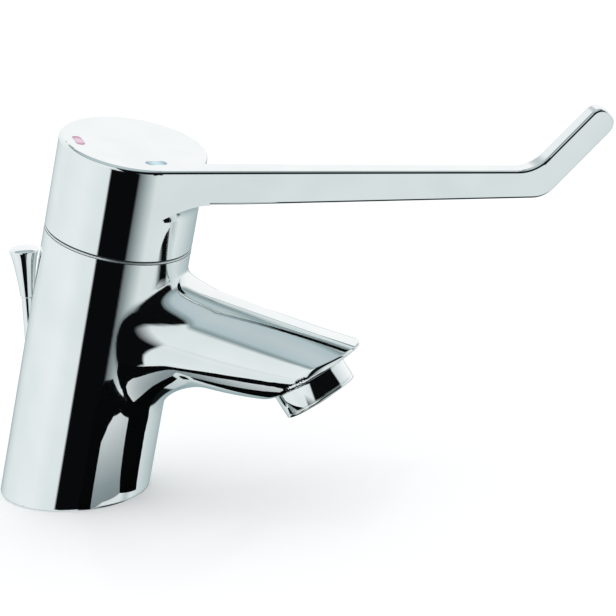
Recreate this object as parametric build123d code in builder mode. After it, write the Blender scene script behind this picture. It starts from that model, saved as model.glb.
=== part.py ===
from build123d import *
import os
from math import cos, radians, sin, sqrt, tan

os.makedirs("parts", exist_ok=True)

# A one-hole basin tap worked by a long elbow lever. Lengths are in millimetres, angles in degrees.
# The origin is the middle of the base on the deck, +Z is up and the spout points along -Y.
# A "level" is a height measured from the origin along the leaning axis of the body.

# Body and head
lean = 14.0
body_r = 24.0
base_edge_r = 0.8
head_foot = 91.5
head_h = 30.8
head_edge_r = 1.4
head_wall = 3.4
head_roof = 2.9
skirt_lip = 0.12
seat_gap = 0.22
pivot_drop = 7.0

# Lever arm: level with the head's top, then bent up; x runs along it from the axis
arm_turn = 45.0
arm_root_w = 8.0
arm_tip_w = 5.4
arm_root_h = 11.6
arm_bend_h = 9.9
arm_bend_x = 136.0
arm_tip_len = 31.0
arm_tip_h = 10.6
arm_tip_angle = 50.0
arm_tip_r = 4.3
arm_bend_inner_r = 14.0
arm_bend_outer_r = 10.0
arm_edge_r = 1.1
web_r = 6.0
arm_flush = 0.02

# Spout
spout_reach = 101.0
spout_lip_drop = 37.9
spout_lip_h = 1.2
spout_top_slope = 17.4
spout_w = 35.0
spout_root_r = 15.0
spout_end_tilt = 31.0
spout_belly_drop = 17.7
ridge_root_w = 9.0
ridge_tip_w = 4.6
ridge_h = 1.0

# Aerator
aerator_reach = 84.0
collar_r = 12.5
collar_len = 8.1
collar_chamfer = 1.0
collar_wall = 2.2
neck_r = 11.8
neck_len = 6.0
washer_h = 2.0
insert_len = 8.0
jet_r = 1.2
outer_jets = 12
outer_jets_r = 7.2
inner_jets = 6
inner_jets_r = 3.6
screen_h = 0.6
grid_count = 7
grid_pitch = 1.25
grid_hole_r = 1.0

# Passages in the body: places across it are shares of its radius
cavity_r_share = 0.8125
cavity_top_share = 0.5385
inlet_x_share = 1 / 3
inlet_back_share = 0.125
inlet_r = 4.5
inlet_len_share = 0.5
channel_r = 2.6
stud_forward_share = 0.4583
stud_hole_r = 3.4
stud_hole_len_share = 0.4167
outlet_forward_share = 0.2917
outlet_r = 4.0
elbow_drop = 6.0
waterway_r = 4.2
seal_inset = 2.8
seal_w = 1.6
seal_h = 1.5

# Cartridge, from the bottom up: its radii are shares of the body's
chamber_drop = 39.5
cartridge_r_share = 0.725
base_h = 6.0
base_rim_h = 2.0
port_seal_w = 1.5
port_seal_h = 1.6
fixed_disc_r_share = 0.5625
fixed_disc_h = 4.0
moving_disc_r_share = 0.3542
moving_disc_h = 4.0
bowl_len = 12.0
bowl_w = 6.4
bowl_h = 2.0
driver_h = 6.0
lift_angle = 20.0
swivel_angle = 45.0
ball_arm = 15.0
ball_r = 2.6
carrier_r_share = 0.5667
carrier_h = 27.3
stem_w = 7.0
shank_r = 2.0
stem_top = 32.0
pin_r = 2.0
shoulder_drop = 7.5
housing_neck_r_share = 0.65
housing_lip_r_share = 0.4583
housing_lip_h = 1.9
nut_r_share = 0.85
nut_h = 5.4
nut_slot_w = 3.0
nut_slot_h = 2.7
nut_slots = 4
glide_h = 2.3
dome_wall = 1.5
dome_mouth_r_share = 0.665
dome_skirt_wall = 1.25

# Head fixings and marks
boss_r = 7.5
screw_r = 2.5
screw_len = 5.0
screw_level = 28.0
hex_socket_r = 1.3
hex_socket_h = 2.5
screw_access_r = 3.2
plug_len = 2.6
mark_len = 7.4
mark_w = 3.0
mark_h = 0.6
cold_mark_inset = 7.4
cold_mark_turn = 88.0
hot_mark_inset = 5.5
hot_mark_turn = 187.0

# Pop-up waste knob and rod
knob_gap = 0.346
rod_r = 2.0
rod_foot = 2.0
rod_mouth_r = 2.5
knob_foot = 65.3
knob_h = 17.0
knob_top_r = 5.2
knob_foot_r = 2.8
knob_dome_h = 0.9
knob_bore_len = 12.0
bush_foot = 20.0
bush_top = 36.0
bush_r = 2.8
bush_flange_r = 3.2
bush_flange_h = 1.4
clip_r = 3.2
clip_h = 1.0
clip_groove_r = 1.6
popup_travel = 10.0

# Fits
fit_gap = 0.05
disc_film = 0.03
run_gap = 0.08
clearance = 0.3
overrun = 5.0

# Directions and levels that follow from these sizes
lean_sin = sin(radians(lean))
lean_cos = cos(radians(lean))
axis_dir = Vector(0, -lean_sin, lean_cos)
arm_angle = radians(arm_turn)
arm_dir = Vector(sin(arm_angle), -cos(arm_angle) * lean_cos, -cos(arm_angle) * lean_sin)
near_dir = arm_dir.cross(axis_dir)
main_axis = Axis((0, 0, 0), axis_dir)
pivot = head_foot - pivot_drop
chamber_floor = head_foot - chamber_drop
housing_shoulder = head_foot - shoulder_drop
cavity_top = chamber_floor * cavity_top_share
inlet_len = (chamber_floor - cavity_top) * inlet_len_share
stud_hole_len = (chamber_floor - cavity_top) * stud_hole_len_share
spout_lip_z = head_foot - spout_lip_drop
spout_top_z = spout_lip_z + spout_lip_h
spout_belly_z = spout_lip_z - spout_belly_drop
cavity_r = body_r * cavity_r_share
inlet_x = body_r * inlet_x_share
inlet_back = body_r * inlet_back_share
stud_forward = body_r * stud_forward_share
outlet_forward = body_r * outlet_forward_share
seal_groove_r = body_r - seal_inset
cartridge_r = body_r * cartridge_r_share
fixed_disc_r = body_r * fixed_disc_r_share
moving_disc_r = body_r * moving_disc_r_share
carrier_r = body_r * carrier_r_share
housing_neck_r = body_r * housing_neck_r_share
housing_lip_r = body_r * housing_lip_r_share
nut_r = body_r * nut_r_share
dome_mouth_r = body_r * dome_mouth_r_share
head_bore_r = body_r - head_wall
rod_back = body_r / lean_cos - knob_foot * tan(radians(lean)) + knob_foot_r + knob_gap
seat_r = sqrt((body_r - skirt_lip) ** 2 + pivot_drop**2)
dome_r = seat_r - seat_gap
body_top = pivot + sqrt(dome_r**2 - body_r**2)
fixed_disc_top = chamber_floor + base_h + fixed_disc_h
moving_disc_foot = fixed_disc_top + disc_film
moving_disc_top = moving_disc_foot + moving_disc_h
driver_top = moving_disc_top + driver_h
carrier_foot = fixed_disc_top + clearance
carrier_top = carrier_foot + carrier_h
nut_top = housing_shoulder + nut_h
disc_travel = ball_arm * radians(lift_angle)
head_top = head_foot + head_h


def axis_point(level):
    return axis_dir * level


def across(level):
    """A plane square to the leaning axis, with its x to the side and its y to the back."""
    return Plane(origin=axis_point(level), x_dir=(1, 0, 0), z_dir=axis_dir)


def across_arm(level):
    """The same plane turned with the lever: x along the arm, y away from its near face."""
    return Plane(origin=axis_point(level), x_dir=arm_dir, z_dir=axis_dir)


def sphere_level(radius, reach):
    """The level at which a sphere about the lift pivot has the given distance from the axis."""
    return pivot + sqrt(radius**2 - reach**2)


# The middle plane of the spout: x is the reach forward and y is the height
spout_middle = Plane(origin=(0, 0, 0), x_dir=(0, -1, 0), z_dir=(-1, 0, 0))
# The lever's side view, through the axis, looked at from its near face
lever_side = Plane(origin=axis_point(head_foot), x_dir=arm_dir, z_dir=near_dir)

# The spout's end face, its outward side facing down and forward along the water
end_sin = sin(radians(spout_end_tilt))
end_cos = cos(radians(spout_end_tilt))
end_z = spout_lip_z - (spout_reach - aerator_reach) * tan(radians(spout_end_tilt))
spout_end = Plane(
    origin=(0, -aerator_reach, end_z), x_dir=(1, 0, 0), z_dir=(0, -end_sin, -end_cos)
)


def spout_top(reach):
    """Height of the spout's top line at a reach forward of the base's middle."""
    return spout_top_z + (spout_reach - reach) * tan(radians(spout_top_slope))


# Stations of the spout: share of the reach, of the half width, of the belly's height
spout_station_shares = [
    (0.20, 1.02, 1.10),
    (0.42, 1.00, 1.125),
    (0.56, 0.985, 1.05),
    (0.70, 0.96, 1.00),
    (0.86, 0.92, 1.03),
    (1.04, 0.86, 1.15),
]
# Points of one section from the crown down one side to the belly: shares of half width, of depth
spout_section_shares = [
    (0.00, 1.00),
    (0.42, 0.93),
    (0.80, 0.74),
    (1.00, 0.46),
    (0.80, 0.16),
    (0.42, 0.03),
    (0.00, 0.00),
]

# The smooth form of the spout, without its ridge
with BuildPart() as spout_core:
    for reach_share, width_share, belly_share in spout_station_shares:
        reach = spout_reach * reach_share
        half_w = spout_w / 2 * width_share
        belly = spout_belly_z * belly_share
        depth = spout_top(reach) - ridge_h / 2 - belly
        side = [(half_w * x_share, belly + depth * y_share) for x_share, y_share in spout_section_shares]
        other_side = [(-x, y) for x, y in side[-2:0:-1]]
        with BuildSketch(Plane(origin=(0, -reach, 0), x_dir=(1, 0, 0), z_dir=(0, -1, 0))):
            with BuildLine():
                Spline(*side, *other_side, periodic=True)
            make_face()
    loft()

# The leaning cylinder that the body is turned from, cut flat where it stands on the deck
with BuildPart() as body_bar:
    with BuildSketch(across(-body_r)):
        Circle(body_r)
    extrude(amount=body_top + body_r)
    split(bisect_by=Plane.XY, keep=Keep.TOP)

# The flat ridge along the spout's crown, made from its tapering plan and its side view
ridge_back = body_r * lean_cos + head_foot * lean_sin - body_r / 2
ridge_depth = ridge_h * 2
ridge_plan = [
    (-ridge_root_w / 2, -ridge_back),
    (-ridge_tip_w / 2, -spout_reach),
    (ridge_tip_w / 2, -spout_reach),
    (ridge_root_w / 2, -ridge_back),
]
with BuildPart() as ridge:
    with BuildSketch(spout_middle):
        with BuildLine():
            Polyline(
                (ridge_back, spout_top(ridge_back)),
                (spout_reach, spout_top_z),
                (spout_reach, spout_top_z - ridge_depth),
                (ridge_back, spout_top(ridge_back) - ridge_depth),
                close=True,
            )
        make_face()
    extrude(amount=body_r, both=True)
    with BuildSketch():
        with BuildLine():
            Polyline(*ridge_plan, close=True)
        make_face()
    extrude(amount=head_foot + head_h, mode=Mode.INTERSECT)

# The notch that lets the ridge's flat top run back to the round wall of the body
with BuildPart() as ridge_notch:
    with BuildSketch(spout_middle):
        with BuildLine():
            Polyline(
                (ridge_back, spout_top(ridge_back)),
                (spout_reach, spout_top_z),
                (spout_reach, spout_top(ridge_back) + body_r),
                (ridge_back, spout_top(ridge_back) + body_r),
                close=True,
            )
        make_face()
    extrude(amount=body_r, both=True)
    with BuildSketch():
        with BuildLine():
            Polyline(*ridge_plan, close=True)
        make_face()
    extrude(amount=head_foot + head_h, mode=Mode.INTERSECT)
    with BuildSketch(across(-body_r)):
        Circle(body_r)
    extrude(amount=head_foot + head_h + body_r, mode=Mode.SUBTRACT)

# Everything of the spout that lies past its rounded tip or below its end face
tip_center = spout_reach - spout_w / 2
with BuildPart() as spout_waste:
    with BuildSketch(spout_end):
        Rectangle(spout_w * 2, spout_reach)
    extrude(amount=spout_reach)
    with BuildSketch(Plane.XY.offset(-spout_reach)):
        with Locations((0, -tip_center - spout_w)):
            Rectangle(spout_w * 2, spout_w * 2)
        with Locations((0, -tip_center)):
            Circle(spout_w / 2, mode=Mode.SUBTRACT)
    extrude(amount=spout_reach * 2)
    with BuildSketch(Plane.XZ.offset(body_r + spout_root_r)):
        Rectangle(spout_w * 2, spout_reach * 2)
    extrude(amount=spout_reach, mode=Mode.INTERSECT)

# Tap body: one chromed brass casting with the spout grown out of its front
inlet_points = [(-inlet_x, inlet_back), (inlet_x, inlet_back)]
outlet_port = across(chamber_floor) * Pos(0, -outlet_forward, 0)
with BuildPart() as tap_body:
    add(body_bar.part)
    add(spout_core.part)
    fillet(tap_body.edges(Select.NEW), radius=spout_root_r)
    add(ridge_notch.part, mode=Mode.SUBTRACT)
    add(ridge.part)
    add(spout_waste.part, mode=Mode.SUBTRACT)
    rim = tap_body.faces().sort_by(Axis.Z)[0].outer_wire().edges()
    fillet(rim, radius=base_edge_r)
    # The open base, where the supply hoses and the fixing stud come up
    with BuildSketch(across(-body_r)):
        Circle(cavity_r)
    extrude(amount=cavity_top + body_r, mode=Mode.SUBTRACT)
    # The groove for the base seal
    with BuildSketch(Plane.XY):
        Circle(seal_groove_r + seal_w)
        Circle(seal_groove_r, mode=Mode.SUBTRACT)
    extrude(amount=seal_h, mode=Mode.SUBTRACT)
    # Hose inlets, the channels above them and the stud hole
    with BuildSketch(across(cavity_top)):
        with Locations(inlet_points):
            Circle(inlet_r)
    extrude(amount=inlet_len, mode=Mode.SUBTRACT)
    with BuildSketch(across(cavity_top)):
        with Locations(inlet_points):
            Circle(channel_r)
    extrude(amount=chamber_floor - cavity_top, mode=Mode.SUBTRACT)
    with BuildSketch(across(cavity_top)):
        with Locations((0, -stud_forward)):
            Circle(stud_hole_r)
    extrude(amount=stud_hole_len, mode=Mode.SUBTRACT)
    # The cartridge chamber and its wider, threaded mouth
    with BuildSketch(across(chamber_floor)):
        Circle(cartridge_r + run_gap)
    extrude(amount=body_top - chamber_floor, mode=Mode.SUBTRACT)
    with BuildSketch(across(housing_shoulder)):
        Circle(nut_r + run_gap)
    extrude(amount=body_top - housing_shoulder, mode=Mode.SUBTRACT)
    # The mixed water's way out: a short drop, then forward through the spout
    elbow = (outlet_port * Pos(0, 0, -elbow_drop)).position
    way_end = spout_end * Pos(0, 0, -neck_len - washer_h)
    with BuildSketch(outlet_port):
        Circle(outlet_r)
    extrude(amount=-elbow_drop, mode=Mode.SUBTRACT)
    with Locations(elbow):
        Sphere(waterway_r, mode=Mode.SUBTRACT)
    with BuildSketch(Plane(origin=elbow, z_dir=way_end.position - elbow)):
        Circle(waterway_r)
    extrude(amount=(way_end.position - elbow).length, mode=Mode.SUBTRACT)
    with BuildSketch(way_end):
        Circle(neck_r + run_gap)
    extrude(amount=neck_len + washer_h + overrun, mode=Mode.SUBTRACT)
    # The upright hole for the pop-up rod and the bore for its guide
    with BuildSketch(Plane.XY):
        with Locations((0, rod_back)):
            Circle(rod_mouth_r)
    extrude(amount=knob_foot + overrun, mode=Mode.SUBTRACT)
    with BuildSketch(Plane.XY.offset(bush_foot)):
        with Locations((0, rod_back)):
            Circle(bush_r + fit_gap)
    extrude(amount=bush_top - bush_foot, mode=Mode.SUBTRACT)
tap_body.part.label = "tap_body"
export_step(tap_body.part, "parts/tap_body.step")

# Base seal: a rubber ring pressed into the groove under the body
with BuildPart() as base_seal:
    with BuildSketch():
        Circle(seal_groove_r + seal_w - fit_gap)
        Circle(seal_groove_r + fit_gap, mode=Mode.SUBTRACT)
    extrude(amount=seal_h)
base_seal.part.label = "base_seal"
export_step(base_seal.part, "parts/base_seal.step")

# Port seals: three rubber rings between the chamber floor and the cartridge
port_points = [*inlet_points, (0, -outlet_forward)]
port_radii = [channel_r, channel_r, outlet_r]
with BuildPart() as port_seals:
    for place, port_r in zip(port_points, port_radii):
        with BuildSketch(across(chamber_floor)):
            with Locations(place):
                Circle(port_r + port_seal_w)
                Circle(port_r, mode=Mode.SUBTRACT)
        extrude(amount=port_seal_h)
port_seals.part.label = "port_seals"
export_step(port_seals.part, "parts/port_seals.step")

# Cartridge base: the plastic foot with its three ports and a rim round the fixed disc
with BuildPart() as cartridge_base:
    with BuildSketch(across(chamber_floor)):
        Circle(cartridge_r)
    extrude(amount=base_h + base_rim_h)
    with BuildSketch(across(chamber_floor + base_h)):
        Circle(fixed_disc_r + fit_gap)
    extrude(amount=base_rim_h, mode=Mode.SUBTRACT)
    for place, port_r in zip(port_points, port_radii):
        with BuildSketch(across(chamber_floor)):
            with Locations(place):
                Circle(port_r)
        extrude(amount=base_h, mode=Mode.SUBTRACT)
        with BuildSketch(across(chamber_floor)):
            with Locations(place):
                Circle(port_r + port_seal_w + fit_gap)
        extrude(amount=port_seal_h, mode=Mode.SUBTRACT)
cartridge_base.part.label = "cartridge_base"
export_step(cartridge_base.part, "parts/cartridge_base.step")

# Fixed ceramic disc, with the same three ports
with BuildPart() as fixed_ceramic_disc:
    with BuildSketch(across(chamber_floor + base_h)):
        Circle(fixed_disc_r)
        for place, port_r in zip(port_points, port_radii):
            with Locations(place):
                Circle(port_r, mode=Mode.SUBTRACT)
    extrude(amount=fixed_disc_h)
fixed_ceramic_disc.part.label = "fixed_ceramic_disc"
export_step(fixed_ceramic_disc.part, "parts/fixed_ceramic_disc.step")

# Cartridge housing: the plastic shell in which the lever's carrier turns
with BuildPart() as cartridge_housing:
    housing_foot = chamber_floor + base_h + base_rim_h
    housing_top = carrier_top + clearance + housing_lip_h
    with BuildSketch(across(housing_foot)):
        Circle(cartridge_r)
    extrude(amount=housing_shoulder - housing_foot)
    with BuildSketch(across(housing_shoulder)):
        Circle(housing_neck_r)
    extrude(amount=housing_top - housing_shoulder)
    with BuildSketch(across(housing_foot)):
        Circle(carrier_r + run_gap)
    extrude(amount=carrier_top + clearance - housing_foot, mode=Mode.SUBTRACT)
    with BuildSketch(across(carrier_top)):
        Circle(housing_lip_r)
    extrude(amount=clearance + housing_lip_h + overrun, mode=Mode.SUBTRACT)
cartridge_housing.part.label = "cartridge_housing"
export_step(cartridge_housing.part, "parts/cartridge_housing.step")

# Cartridge nut: the brass ring that clamps the housing's shoulder, with four spanner slots
with BuildPart() as cartridge_nut:
    with BuildSketch(across(housing_shoulder)):
        Circle(nut_r)
        Circle(housing_neck_r + run_gap, mode=Mode.SUBTRACT)
    extrude(amount=nut_h)
    with BuildSketch(across(nut_top)):
        with PolarLocations((nut_r + housing_neck_r) / 2, nut_slots):
            Rectangle(nut_r - housing_neck_r + nut_slot_w, nut_slot_w)
    extrude(amount=-nut_slot_h, mode=Mode.SUBTRACT)
cartridge_nut.part.label = "cartridge_nut"
export_step(cartridge_nut.part, "parts/cartridge_nut.step")

# Glide ring: the black plastic band in the joint, on which the head's skirt slides
skirt_r = nut_r
glide_top = body_top + glide_h
with BuildPart() as glide_ring:
    with BuildSketch(across(body_top)):
        Circle(body_r)
        Circle(skirt_r + fit_gap, mode=Mode.SUBTRACT)
    extrude(amount=glide_h)
    with Locations(axis_point(pivot)):
        Sphere(dome_r, mode=Mode.INTERSECT)
glide_ring.part.label = "glide_ring"
export_step(glide_ring.part, "parts/glide_ring.step")

# Dome cover: the chromed cap round the cartridge, a slice of a ball about the lift pivot
with BuildPart() as dome_cover:
    with Locations(axis_point(pivot)):
        Sphere(dome_r)
        Sphere(dome_r - dome_wall, mode=Mode.SUBTRACT)
    split(bisect_by=across(glide_top), keep=Keep.TOP)
    with BuildSketch(across(nut_top)):
        Circle(skirt_r)
        Circle(skirt_r - dome_skirt_wall, mode=Mode.SUBTRACT)
    extrude(amount=sphere_level(dome_r - dome_wall / 2, skirt_r) - nut_top)
    with BuildSketch(across(glide_top)):
        Circle(dome_mouth_r)
    extrude(amount=dome_r, mode=Mode.SUBTRACT)
dome_cover.part.label = "dome_cover"
export_step(dome_cover.part, "parts/dome_cover.step")

# Swivel carrier: turns in the housing with the lever, slotted for the stem, open below
pocket_reach = moving_disc_r + disc_travel / 2 + clearance
pocket_half = moving_disc_r + run_gap
slot_back = (carrier_top - pivot) * tan(radians(lift_angle)) + stem_w / 2 / cos(radians(lift_angle))
slot_front = (pivot - driver_top) * tan(radians(lift_angle)) + stem_w / 2
with BuildPart() as swivel_carrier:
    with BuildSketch(across(carrier_foot)):
        Circle(carrier_r)
    extrude(amount=carrier_h)
    with BuildSketch(across_arm(carrier_foot)):
        SlotOverall(pocket_reach * 2, pocket_half * 2)
    extrude(amount=driver_top + clearance - carrier_foot, mode=Mode.SUBTRACT)
    with BuildSketch(across_arm(driver_top)):
        with Locations(((slot_front - slot_back) / 2, 0)):
            Rectangle(slot_front + slot_back + clearance * 2, stem_w + clearance * 2)
    extrude(amount=carrier_top + overrun - driver_top, mode=Mode.SUBTRACT)
    with BuildSketch(Plane(origin=axis_point(pivot), x_dir=arm_dir, z_dir=near_dir)):
        Circle(pin_r)
    extrude(amount=carrier_r * 2, both=True, mode=Mode.SUBTRACT)
swivel_carrier.part.label = "swivel_carrier"
export_step(swivel_carrier.part, "parts/swivel_carrier.step")

# Pivot pin: the steel pin across the carrier on which the stem rocks
pin_half_len = carrier_r - clearance * 2
with BuildPart() as pivot_pin:
    with BuildSketch(Plane(origin=axis_point(pivot), x_dir=arm_dir, z_dir=near_dir)):
        Circle(pin_r - fit_gap / 2)
    extrude(amount=pin_half_len, both=True)
pivot_pin.part.label = "pivot_pin"
export_step(pivot_pin.part, "parts/pivot_pin.step")

# Moving ceramic disc, with the mixing bowl under it: a film of grease parts it from the fixed one
disc_rest = across_arm(moving_disc_foot) * Pos(-disc_travel / 2, 0, 0)
with BuildPart() as moving_ceramic_disc:
    with BuildSketch(disc_rest):
        Circle(moving_disc_r)
    extrude(amount=moving_disc_h)
    with BuildSketch(disc_rest):
        SlotOverall(bowl_len, bowl_w, rotation=90)
    extrude(amount=bowl_h, mode=Mode.SUBTRACT)
moving_ceramic_disc.part.label = "moving_ceramic_disc"
export_step(moving_ceramic_disc.part, "parts/moving_ceramic_disc.step")

# Disc driver: the plastic slider on the moving disc, with the socket of the stem's ball
ball_level = pivot - ball_arm
socket_foot = ball_level - ball_r - clearance
with BuildPart() as disc_driver:
    with BuildSketch(across_arm(moving_disc_top) * Pos(-disc_travel / 2, 0, 0)):
        Circle(moving_disc_r)
    extrude(amount=driver_h)
    with BuildSketch(across_arm(socket_foot)):
        Circle(ball_r + clearance)
    extrude(amount=driver_top + overrun - socket_foot, mode=Mode.SUBTRACT)
disc_driver.part.label = "disc_driver"
export_step(disc_driver.part, "parts/disc_driver.step")

# Stem: the steel spindle from the disc driver's ball up into the head
stem_foot = pivot - stem_w
with BuildPart() as stem:
    with BuildSketch(across_arm(stem_foot)):
        Rectangle(stem_w, stem_w)
    extrude(amount=pivot + stem_top - stem_foot)
    with BuildSketch(across_arm(ball_level)):
        Circle(shank_r)
    extrude(amount=stem_foot - ball_level)
    with Locations(axis_point(ball_level)):
        Sphere(ball_r)
    with BuildSketch(Plane(origin=axis_point(pivot), x_dir=arm_dir, z_dir=near_dir)):
        Circle(pin_r + fit_gap)
    extrude(amount=stem_w, both=True, mode=Mode.SUBTRACT)
stem.part.label = "stem"
export_step(stem.part, "parts/stem.step")

# Where the lever's straight edges meet, in its side view
tip_dir = Vector(cos(radians(arm_tip_angle)), sin(radians(arm_tip_angle)))
tip_across = Vector(tip_dir.Y, -tip_dir.X)
top_bend = Vector(arm_bend_x, head_h - arm_flush)
tip_top = top_bend + tip_dir * arm_tip_len
tip_low = tip_top + tip_across * arm_tip_h
web_reach = body_r + web_r
arm_foot = head_h - arm_root_h
low_slope = (arm_root_h - arm_bend_h) / (arm_bend_x - web_reach)
low_drop = tip_low.Y - arm_foot - low_slope * (tip_low.X - web_reach)
low_bend = tip_low - tip_dir * (low_drop / (tip_dir.Y - low_slope * tip_dir.X))

# The lever's plan: straight along the near face, which touches the head's round, and slimmer at the tip
near_y = arm_flush - body_r
arm_plan = [(0, near_y), (tip_low.X, near_y), (tip_low.X, near_y + arm_tip_w), (0, near_y + arm_root_w)]

# The lever's bar alone, rounded along its edges
with BuildPart() as arm_bar:
    with BuildSketch(lever_side):
        with BuildLine():
            FilletPolyline(
                (0, arm_foot),
                (web_reach, arm_foot),
                low_bend,
                tip_low,
                tip_top,
                top_bend,
                (0, head_h - arm_flush),
                radius=(0, web_reach, arm_bend_outer_r, arm_tip_r, arm_tip_r, arm_bend_inner_r, 0),
                close=True,
            )
        make_face()
    extrude(amount=body_r)
    with BuildSketch(across_arm(head_foot)):
        with BuildLine():
            Polyline(*arm_plan, close=True)
        make_face()
    extrude(amount=tip_top.Y + body_r, mode=Mode.INTERSECT)
    side_faces = arm_bar.faces().sort_by(Axis((0, 0, 0), near_dir))
    long_edges = []
    for face in (side_faces[0], side_faces[-1]):
        for edge in face.edges():
            middle = lever_side.to_local_coords(edge.position_at(0.5))
            if middle.X > arm_edge_r and middle.Y > arm_foot - arm_edge_r:
                long_edges.append(edge)
    fillet(long_edges, radius=arm_edge_r)

# The hollow curve under the bar, where it runs down into the round wall of the head
with BuildPart() as arm_web:
    with BuildSketch(lever_side):
        with BuildLine():
            Polyline(
                (body_r, arm_foot - web_r),
                (body_r - web_r, arm_foot - web_r),
                (body_r - web_r, arm_foot + arm_edge_r),
                (web_reach, arm_foot + arm_edge_r),
                (web_reach, arm_foot),
            )
            CenterArc((web_reach, arm_foot - web_r), web_r, 90, 90)
        make_face()
    revolve(axis=main_axis)
    with BuildSketch(across_arm(head_foot)):
        with BuildLine():
            Polyline(*arm_plan, close=True)
        make_face()
    extrude(amount=head_h, mode=Mode.INTERSECT)


def mark_plane(turn, reach):
    """The head's top plane, centred on a coloured mark and turned along the rim."""
    return across_arm(head_top) * Rot(0, 0, -turn) * Pos(reach, 0, 0)


marks = {
    "cold_mark": (cold_mark_turn, body_r - cold_mark_inset),
    "hot_mark": (hot_mark_turn, body_r - hot_mark_inset),
}


# Lever handle: the chromed head and its long arm in one casting
with BuildPart() as lever_handle:
    with BuildSketch(across(head_foot)):
        Circle(body_r)
    extrude(amount=head_h)
    fillet(lever_handle.faces().sort_by(main_axis)[-1].edges(), radius=head_edge_r)
    add(arm_bar.part)
    add(arm_web.part)
    # The hollow under the roof, the ball-shaped seat of the skirt and the boss for the stem
    with BuildSketch(across(pivot)):
        Circle(head_bore_r)
        Circle(boss_r, mode=Mode.SUBTRACT)
    extrude(amount=head_top - head_roof - pivot, mode=Mode.SUBTRACT)
    with Locations(axis_point(pivot)):
        Sphere(seat_r, mode=Mode.SUBTRACT)
    # The stem's square socket, the grub screw's hole and its way in from the far side
    with BuildSketch(across_arm(pivot)):
        Rectangle(stem_w + fit_gap * 2, stem_w + fit_gap * 2)
    extrude(amount=stem_top + fit_gap, mode=Mode.SUBTRACT)
    with BuildSketch(Plane(origin=axis_point(pivot + screw_level), x_dir=arm_dir, z_dir=-near_dir)):
        Circle(screw_r)
    extrude(amount=boss_r + overrun, mode=Mode.SUBTRACT)
    access_reach = head_bore_r - overrun
    with BuildSketch(
        Plane(origin=axis_point(pivot + screw_level) - near_dir * access_reach, z_dir=-near_dir)
    ):
        Circle(screw_access_r)
    extrude(amount=body_r - access_reach + overrun, mode=Mode.SUBTRACT)
    for turn, reach in marks.values():
        with BuildSketch(mark_plane(turn, reach)):
            SlotOverall(mark_len, mark_w, rotation=90)
        extrude(amount=-mark_h, mode=Mode.SUBTRACT)
lever_handle.part.label = "lever_handle"
export_step(lever_handle.part, "parts/lever_handle.step")

# Grub screw: holds the stem in its socket, with a hexagon socket in its outer end
screw_seat = Plane(
    origin=axis_point(pivot + screw_level) - near_dir * (stem_w / 2 + fit_gap), z_dir=-near_dir
)
with BuildPart() as grub_screw:
    with BuildSketch(screw_seat):
        Circle(screw_r - fit_gap)
    extrude(amount=screw_len)
    with BuildSketch(screw_seat.offset(screw_len)):
        RegularPolygon(hex_socket_r, 6)
    extrude(amount=-hex_socket_h, mode=Mode.SUBTRACT)
grub_screw.part.label = "grub_screw"
export_step(grub_screw.part, "parts/grub_screw.step")

# Screw plug: closes the screwdriver's way in, flush with the round of the head
with BuildPart() as screw_plug:
    with BuildSketch(
        Plane(origin=axis_point(pivot + screw_level) - near_dir * (body_r - plug_len), z_dir=-near_dir)
    ):
        Circle(screw_access_r - fit_gap)
    extrude(amount=overrun)
    with BuildSketch(across(head_foot)):
        Circle(body_r)
    extrude(amount=head_h, mode=Mode.INTERSECT)
screw_plug.part.label = "screw_plug"
export_step(screw_plug.part, "parts/screw_plug.step")

# Hot and cold marks: small enamelled inlays, level with the head's top
for name, (turn, reach) in marks.items():
    with BuildPart() as mark:
        with BuildSketch(mark_plane(turn, reach)):
            SlotOverall(mark_len - fit_gap * 2, mark_w - fit_gap * 2, rotation=90)
        extrude(amount=-mark_h)
    mark.part.label = name
    export_step(mark.part, "parts/" + name + ".step")

# Aerator housing: the chromed collar under the spout's tip and the threaded neck above it
collar_bore_r = collar_r - collar_wall
with BuildPart() as aerator_housing:
    with BuildSketch(spout_end):
        Circle(collar_r)
    extrude(amount=collar_len)
    chamfer(aerator_housing.faces().sort_by(Axis((0, 0, 0), spout_end.z_dir))[-1].edges(), collar_chamfer)
    with BuildSketch(spout_end):
        Circle(neck_r)
    extrude(amount=-neck_len)
    with BuildSketch(spout_end.offset(-neck_len)):
        Circle(collar_bore_r)
    extrude(amount=neck_len + collar_len - collar_wall / 2, mode=Mode.SUBTRACT)
    with BuildSketch(spout_end):
        Circle(collar_bore_r - collar_wall / 2)
    extrude(amount=collar_len, mode=Mode.SUBTRACT)
aerator_housing.part.label = "aerator_housing"
export_step(aerator_housing.part, "parts/aerator_housing.step")

# Aerator washer: the rubber ring between the neck and the bottom of its socket
with BuildPart() as aerator_washer:
    with BuildSketch(spout_end.offset(-neck_len)):
        Circle(neck_r)
        Circle(collar_bore_r - collar_wall / 2, mode=Mode.SUBTRACT)
    extrude(amount=-washer_h)
aerator_washer.part.label = "aerator_washer"
export_step(aerator_washer.part, "parts/aerator_washer.step")

# Aerator screen: the outlet grid that rests on the collar's inner lip
screen_level = collar_len - collar_wall / 2
with BuildPart() as aerator_screen:
    with BuildSketch(spout_end.offset(screen_level)):
        Circle(collar_bore_r - fit_gap)
        with HexLocations(grid_pitch, grid_count, grid_count):
            RegularPolygon(grid_hole_r, 6, major_radius=False, mode=Mode.SUBTRACT)
    extrude(amount=-screen_h)
aerator_screen.part.label = "aerator_screen"
export_step(aerator_screen.part, "parts/aerator_screen.step")

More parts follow.
